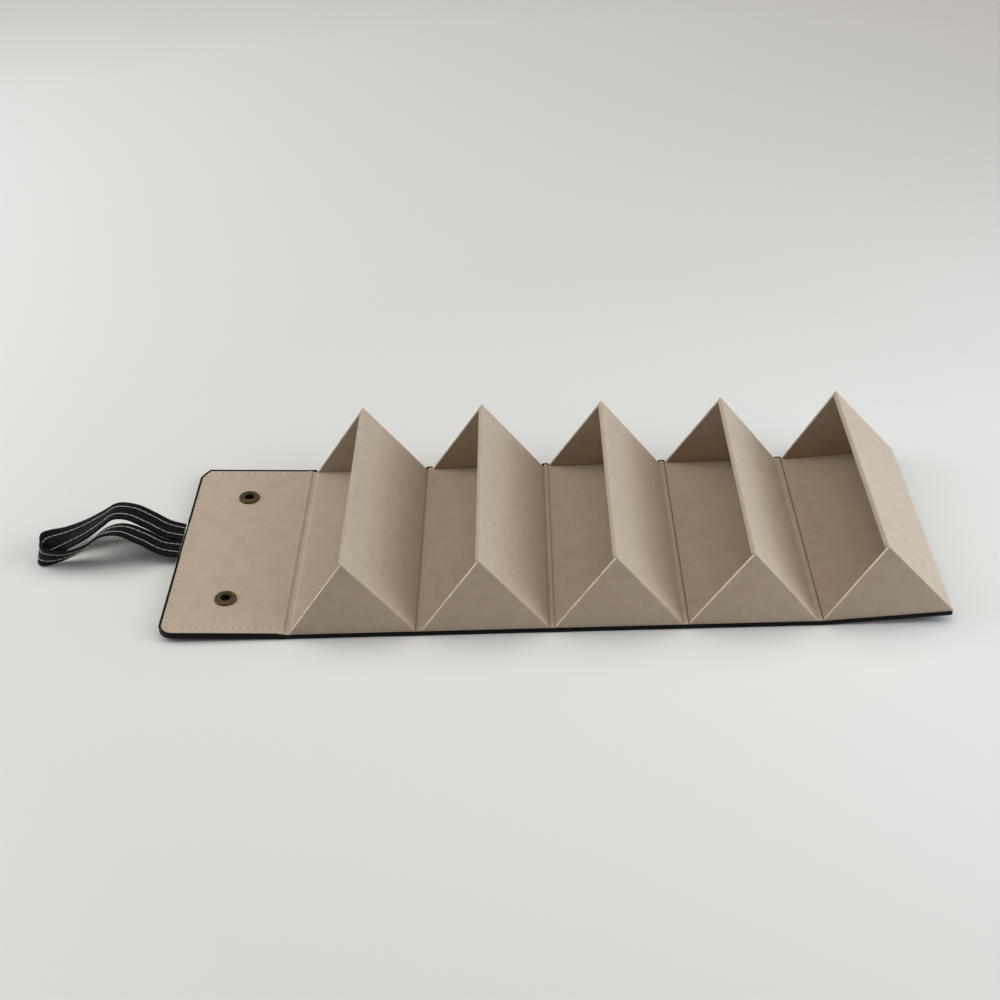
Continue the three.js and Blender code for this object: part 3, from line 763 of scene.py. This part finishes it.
seat = LINING_TOP + SEAT_GAP
socket_top = seat + SOCKET_HEIGHT
dish = socket_top - DISH_DEPTH
socket_profile = [
    (0, 1.25), (2.75, 1.25), (2.95, 1.5), (2.95, dish - 0.2), (2.98, dish + 0.06), (3.1, dish + 0.16),
    (3.3, dish + 0.18), (3.5, dish + 0.1), (3.65, dish), (5.2, dish), (5.5, dish + 0.05),
    *arc((SOCKET_RADIUS - SOCKET_RIM, socket_top - SOCKET_RIM), SOCKET_RIM, 150, 0, 10),
    (SOCKET_RADIUS, seat + 0.15), (6.4, seat), (3.8, seat), (3.8, 0.95), (3.7, 0.9), (0, 0.9),
]
cap_profile = [
    (0, -1.25), (2.0, -1.24), (4.0, -1.2), (5.2, -1.05), (6.0, -0.8), (6.4, -0.5), (6.5, -0.25),
    (6.45, -0.1), (6.3, -0.05), (1.5, -0.05), (1.5, 0.8), (0, 0.8),
]
stud_profile = [
    (0, -2.35), (1.0, -2.38), (1.2, -2.45), (2.0, -2.45), (2.35, -2.35), (2.65, -1.9), (2.7, -1.4),
    (2.55, -0.9), (2.3, -0.5), (2.35, -0.25), (4.3, -0.2), (4.5, -0.13), (4.4, -0.05),
    (1.5, -0.05), (1.5, 0.8), (0, 0.8),
]


def socket_rub(radius, height):
    """Dark in the bore, brighter on the dish, brightest on the rim."""
    return smoothstep((radius - 3.0) / 0.3) * (0.6 + 0.4 * smoothstep((height - dish) / DISH_DEPTH))


def cap_rub(radius, height):
    """Bright on the crown."""
    return smoothstep((-height - 0.3) / 0.9)


def stud_rub(radius, height):
    """Bright on the tip."""
    return smoothstep((-height - 0.6) / 1.2)


for row, side in (("front", -SNAP_SIDE), ("rear", SNAP_SIDE)):
    socket = make(f"socket_{row}", turned(socket_profile, -SNAP_REACH, side), flap_place, brass)
    rubbed(socket, socket_profile, socket_rub)
    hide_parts(f"snap_socket_{row}")
    cap = make(f"cap_{row}", turned(cap_profile, -SNAP_REACH, side), flap_place, brass)
    rubbed(cap, cap_profile, cap_rub)
    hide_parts(f"snap_cap_{row}")
    for piece in (socket, cap):
        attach(piece, "flap")
    stud = make(f"stud_{row}", turned(stud_profile, stud_reach, side), panel_place[5], brass)
    rubbed(stud, stud_profile, stud_rub)
    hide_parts(f"snap_stud_{row}")
    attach(stud, "compartment_5")
    dress(frame["nodes"][f"stud_rivet_{row}"], steel)

# Wrist strap: one band of black leather, two plies sewn together along both edges, its ends sewn side
# by side into the flap. It stands up in a soft arch and turns round at its end. Each point of its route
# is (reach from the flap, place across in STRAP_SPACING, rise, lean in degrees).
STRAP_WIDTH = 16.5
STRAP_THICK = 1.5
STRAP_EDGE = 0.5
STRAP_SPACING = 16.9
STRAP_STEPS = 240
STRAP_SEAM = 3.75
SEAM_DEPTH = 0.14
STRAP_GRAIN = 0.7
STRAP_ROUGHNESS = 0.58
STRAP_BLACK = "#0B0A09"
STRAP_CREASE = "#070606"
STRAP_ROUTE = [
    (0, 0.5, 0, 0),
    (10, 0.5, 3.4, 3), (20.5, 0.56, 10, 1), (31.5, 0.66, 15, 0), (41, 0.68, 15.6, 1),
    (50, 0.64, 10.4, 0), (60, 0.48, 5.4, 5), (71, 0.18, 3.0, 16), (79, -0.1, 2.9, 42),
    (83.6, -0.4, 3.9, 88), (84.4, -0.78, 4.0, 106), (80, -1.03, 4.0, 78), (69, -0.97, 3.5, 51),
    (56, -0.79, 7.4, 36), (45, -0.65, 15, 25), (34, -0.47, 15.5, 10), (21.5, -0.48, 9.7, 5),
    (10.5, -0.5, 2.5, 3),
    (0, -0.5, 0, 0),
]
strap_leather = leather("strap_pu_leather", STRAP_BLACK, STRAP_CREASE, STRAP_GRAIN, STRAP_ROUGHNESS)
strap_root = Vector(joints["strap_swing"]["pos_m"]) / MM
strap_points = [
    strap_root + Vector((-reach, across * STRAP_SPACING, rise)) for reach, across, rise, lean in STRAP_ROUTE
]
strap_leans = [Vector((lean, 0, 0)) for reach, across, rise, lean in STRAP_ROUTE]


def through(points, share):
    """A place on the smooth curve through points (centripetal), share from 0 to 1."""
    last = len(points) - 1
    at = min(share * last, last - 1e-9)
    i = int(at)
    p1, p2 = points[i], points[i + 1]
    p0 = points[i - 1] if i else 2 * p1 - p2
    p3 = points[i + 2] if i + 2 <= last else 2 * p2 - p1
    d0, d1, d2 = [max((b - a).length ** 0.5, 1e-4) for a, b in ((p0, p1), (p1, p2), (p2, p3))]
    m1 = ((p1 - p0) / d0 - (p2 - p0) / (d0 + d1) + (p2 - p1) / d1) * d1
    m2 = ((p2 - p1) / d1 - (p3 - p1) / (d1 + d2) + (p3 - p2) / d2) * d1
    t = at - i
    return (p1 + m1 * t + (3 * (p2 - p1) - 2 * m1 - m2) * t * t
            + (2 * (p1 - p2) + m1 + m2) * t * t * t)


def strap_frame(share):
    """Middle of the band, and its across and face directions."""
    ahead = through(strap_points, min(share + 1e-4, 1))
    behind = through(strap_points, max(share - 1e-4, 0))
    forward = (ahead - behind).normalized()
    lean = math.radians(through(strap_leans, share).x)
    up = Vector((0, 0, 1))
    outward = forward.cross(up).normalized()
    across = outward * math.cos(lean) + up * math.sin(lean)
    face = across.cross(forward).normalized()
    return through(strap_points, share), across, face


half_thick = STRAP_THICK / 2
edge_across = STRAP_WIDTH / 2 - STRAP_EDGE
edge_height = half_thick - STRAP_EDGE
seam_lines = [
    (seam + offset, half_thick - share * SEAM_DEPTH) for seam in (-STRAP_SEAM, STRAP_SEAM)
    for offset, share in ((-0.7, 0), (-0.3, 0.7), (0, 1), (0.3, 0.7), (0.7, 0))
]
band_section = [
    *arc((-edge_across, edge_height), STRAP_EDGE, 180, 90, 4),
    *seam_lines,
    *arc((edge_across, edge_height), STRAP_EDGE, 90, 0, 4),
]
band_section += [(-a, -h) for a, h in band_section]
rings = []
for step in range(STRAP_STEPS + 1):
    middle, across, face = strap_frame(step / STRAP_STEPS)
    rings.append([(middle + across * a + face * h) for a, h in band_section])
strap = make("wrist_strap", loft(rings), Matrix.Scale(MM, 4), strap_leather)
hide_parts("strap_loop")
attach(strap, "strap")

for row in ("front", "rear"):
    dress(frame["nodes"][f"strap_tail_{row}"], strap_leather)

# Stitching: polyester thread, beige round three edges of the flap and ivory along both edges of the
# strap. Each stitch is a short length pulled in at its ends; on the flap the needle holes are small pits
# coloured dark brown, as painted shade.
# Twisted thread with a slight gloss. A stitch's size is (width, pitch, gap).
FLAP_STITCH = (0.45, 4.2, 0.9)
STRAP_STITCH = (0.42, 3.6, 0.1)
STITCH_FORM = ((-1, 0.4, 0.2), (-0.85, 0.85, 0.04), (0, 1, 0), (0.85, 0.85, 0.04), (1, 0.4, 0.2))
STITCH_SIDES = 6
FLAP_THREAD = "#CDBFAC"
STRAP_THREAD = "#CFCBC1"
TWIST_SIZE = 0.5
THREAD_SINK = 0.06
HOLE_SHADE_BROWN = "#4E4235"
HOLE_RADIUS = 0.3
HOLE_PROUD = 0.02
SEAM_START = 1.0
SEAM_INSET = 4.85
SEAM_SHIFT = 1.55
SEAM_REACH = 1.35
WALK_STEPS = 1200


def thread(name, tint):
    """Twisted polyester: fine slanting ridges and a slight gloss."""
    material = new_material(name)
    place = add(material, "TexCoord", {})
    twist = add(material, "TexNoise", {
        "Vector": (place, "Object"), "Scale": 1 / (TWIST_SIZE * MM), "Detail": 2,
    })
    bump = add(material, "Bump", {"Height": (twist, "Fac"), "Strength": 0.4, "Distance": 0.1 * MM})
    fibre = add(material, "BsdfPrincipled", {
        "Base Color": colour(tint), "Roughness": 0.6, "Normal": (bump, "Normal"), "Sheen Weight": 0.2,
    })
    add(material, "OutputMaterial", {"Surface": (fibre, "BSDF")})
    return material


def evenly(points, pitch):
    """Even steps along a line: (the point before, the distance past it, the direction there)."""
    run = [0.0]
    for a, b in zip(points, points[1:]):
        run.append(run[-1] + (b - a).length)
    count = int(run[-1] / pitch)
    spots = []
    k = 0
    for n in range(count):
        at = (n + 0.5) * run[-1] / count
        while run[k + 1] < at:
            k += 1
        spots.append((k, at - run[k], (points[k + 1] - points[k]).normalized()))
    return spots


def stitch(shape, middle, along, face, size):
    """Adds one stitch. STITCH_FORM has its (share of the length, share of the width, sink in mm)."""
    width, pitch, gap = size
    across = along.cross(face).normalized()
    rows = []
    for share, thick, sink in STITCH_FORM:
        centre = middle + along * (pitch - gap) / 2 * share - face * sink
        circle = arc((0, 0), width / 2 * thick, 0, 360, STITCH_SIDES)[:-1]
        rows.append([shape.verts.new(centre + across * a + face * h) for a, h in circle])
    for row, following in zip(rows, rows[1:]):
        for k in range(STITCH_SIDES):
            shape.faces.new((row[k], row[k - 1], following[k - 1], following[k]))
    shape.faces.new(rows[0])
    shape.faces.new(rows[-1])


def needle_pit(shape, spot):
    """Adds a needle hole, a small pit in the flap's lining, coloured dark brown as painted shade."""
    circle = arc(spot, HOLE_RADIUS, 0, 360, STITCH_SIDES)[:-1]
    rim = [shape.verts.new((x, y, LINING_TOP + HOLE_PROUD)) for x, y in circle]
    bottom = shape.verts.new((spot.x, spot.y, LINING_TOP - HOLE_RADIUS))
    shape.faces.new(rim).material_index = 1
    for k in range(STITCH_SIDES):
        shape.faces.new((rim[k], rim[k - 1], bottom)).material_index = 1


flap_shape = bmesh.new()
seam_outline = panel_outline(
    -FLOOR_START - SEAM_START, -FLAP_LENGTH - SEAM_REACH, FLAP_CORNER, SEAM_INSET, cut=REAR_CUT)
track = [Vector((x, y + SEAM_SHIFT, LINING_TOP)) for x, y in seam_outline]
for k, past, along in evenly(track, FLAP_STITCH[1]):
    middle = track[k] + along * past
    stitch(flap_shape, middle, along, Vector((0, 0, 1)), FLAP_STITCH)
    for end in (-1, 1):
        needle_pit(flap_shape, middle + along * end * (FLAP_STITCH[1] - FLAP_STITCH[2]) / 2)
flap_stitches = make("flap_stitching", flap_shape, flap_place, thread("beige_thread", FLAP_THREAD))
# The needle holes' dark brown is painted shade in the pits.
painted_hole_shade = new_material("painted_hole_shade")
pit = add(painted_hole_shade, "BsdfPrincipled", {"Base Color": colour(HOLE_SHADE_BROWN), "Roughness": 1.0})
add(painted_hole_shade, "OutputMaterial", {"Surface": (pit, "BSDF")})
flap_stitches.data.materials.append(painted_hole_shade)
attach(flap_stitches, "flap")

strap_shape = bmesh.new()
walk = [strap_frame(k / WALK_STEPS) for k in range(WALK_STEPS + 1)]
for seam in (-STRAP_SEAM, STRAP_SEAM):
    for flip in (-1, 1):
        height = flip * (half_thick - THREAD_SINK)
        line = [middle + across * seam + face * height for middle, across, face in walk]
        for k, _, along in evenly(line, STRAP_STITCH[1]):
            stitch(strap_shape, line[k], along, walk[k][2] * flip, STRAP_STITCH)
ivory_thread = thread("ivory_thread", STRAP_THREAD)
strap_stitches = make("strap_stitching", strap_shape, Matrix.Scale(MM, 4), ivory_thread)
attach(strap_stitches, "strap")

# Table and light: a plain pale round table top in a pale room, under soft studio light with a little
# more of it from the right. Sizes are in metres. Satin white, paler away from the object, so that the
# background stays even where the lamps reach it less.
TABLE_DROP = 0.3 * MM
TABLE_RADIUS = 1.6
TABLE_SEGMENTS = 128
TABLE_CLOUDS = 1 / 3
TABLE_WHITE = "#DAD8D3"
TABLE_RIM_WHITE = "#F1F1EE"
PALE_FROM = 0.35
ROOM_WHITE = "#E4E3E0"
WALL_LEVEL = 0.5
WALL_TOP = 0.1
CEILING_LEVEL = 0.03
CEILING_START = 0.3
LAMP_AIM = Vector((0, 0, 0.02))

table_top = new_material("pale_table")
place = add(table_top, "TexCoord", {})
clouds = add(table_top, "TexNoise", {"Vector": (place, "Object"), "Scale": 1 / TABLE_CLOUDS, "Detail": 2})
gloss = add(table_top, "MapRange", {"Value": (clouds, "Fac"), "To Min": 0.5, "To Max": 0.6})
distance = add(table_top, "VectorMath", {0: (place, "Object")}, operation="LENGTH")
tone = add(table_top, "ValToRGB", {"Fac": (distance, "Value")})
tone.color_ramp.elements[0].color = colour(TABLE_WHITE)
tone.color_ramp.elements[0].position = PALE_FROM
tone.color_ramp.elements[1].color = colour(TABLE_RIM_WHITE)
enamel = add(table_top, "BsdfPrincipled", {
    "Base Color": (tone, "Color"), "Roughness": (gloss, "Result"), "Specular IOR Level": 0.3,
})
add(table_top, "OutputMaterial", {"Surface": (enamel, "BSDF")})
plane = bmesh.new()
bmesh.ops.create_circle(plane, cap_ends=True, radius=TABLE_RADIUS, segments=TABLE_SEGMENTS)
mesh = bpy.data.meshes.new("table")
plane.to_mesh(mesh)
plane.free()
mesh.materials.append(table_top)
table = bpy.data.objects.new("table", mesh)
table.location.z = -TABLE_DROP
bpy.context.scene.collection.objects.link(table)

room = bpy.data.worlds.new("room")
bpy.context.scene.world = room
room.use_nodes = True
toward = add(room, "TexCoord", {})
height = add(room, "SeparateXYZ", {"Vector": (toward, "Generated")})
level = add(room, "MapRange", {
    "Value": (height, "Z"), "From Min": WALL_TOP, "From Max": CEILING_START,
    "To Min": WALL_LEVEL, "To Max": CEILING_LEVEL,
})
backdrop = room.node_tree.nodes["Background"]
backdrop.inputs["Color"].default_value = colour(ROOM_WHITE)
room.node_tree.links.new(level.outputs["Result"], backdrop.inputs["Strength"])

# Name, place, size, beam in degrees, watts and tint of each lamp.
for name, place, size, beam, watts, tint in (
    ("overhead", (0.0, 0.6, 2.4), (3.0, 2.4), 180, 40.6, "#FFF9F1"),
    ("right", (0.72, -0.12, 0.5), (0.7, 0.7), 100, 1.62, "#EFF9FF"),
    ("right_low", (1.1, -0.1, 0.34), (0.9, 0.5), 100, 1.62, "#BCDBFF"),
    ("left", (-1.3, 0.1, 0.8), (1.2, 1.0), 180, 13.4, "#EFF6FF"),
    ("front_right", (1.7, -1.7, 1.0), (1.4, 1.0), 180, 10.2, "#FFE4D7"),
):
    lamp = bpy.data.lights.new(name, "AREA")
    lamp.shape = "RECTANGLE"
    lamp.size, lamp.size_y = size
    lamp.spread = math.radians(beam)
    lamp.energy = watts
    lamp.color = colour(tint)[:3]
    holder = bpy.data.objects.new(name, lamp)
    holder.location = place
    holder.rotation_euler = (LAMP_AIM - Vector(place)).to_track_quat("-Z", "Y").to_euler()
    bpy.context.scene.collection.objects.link(holder)
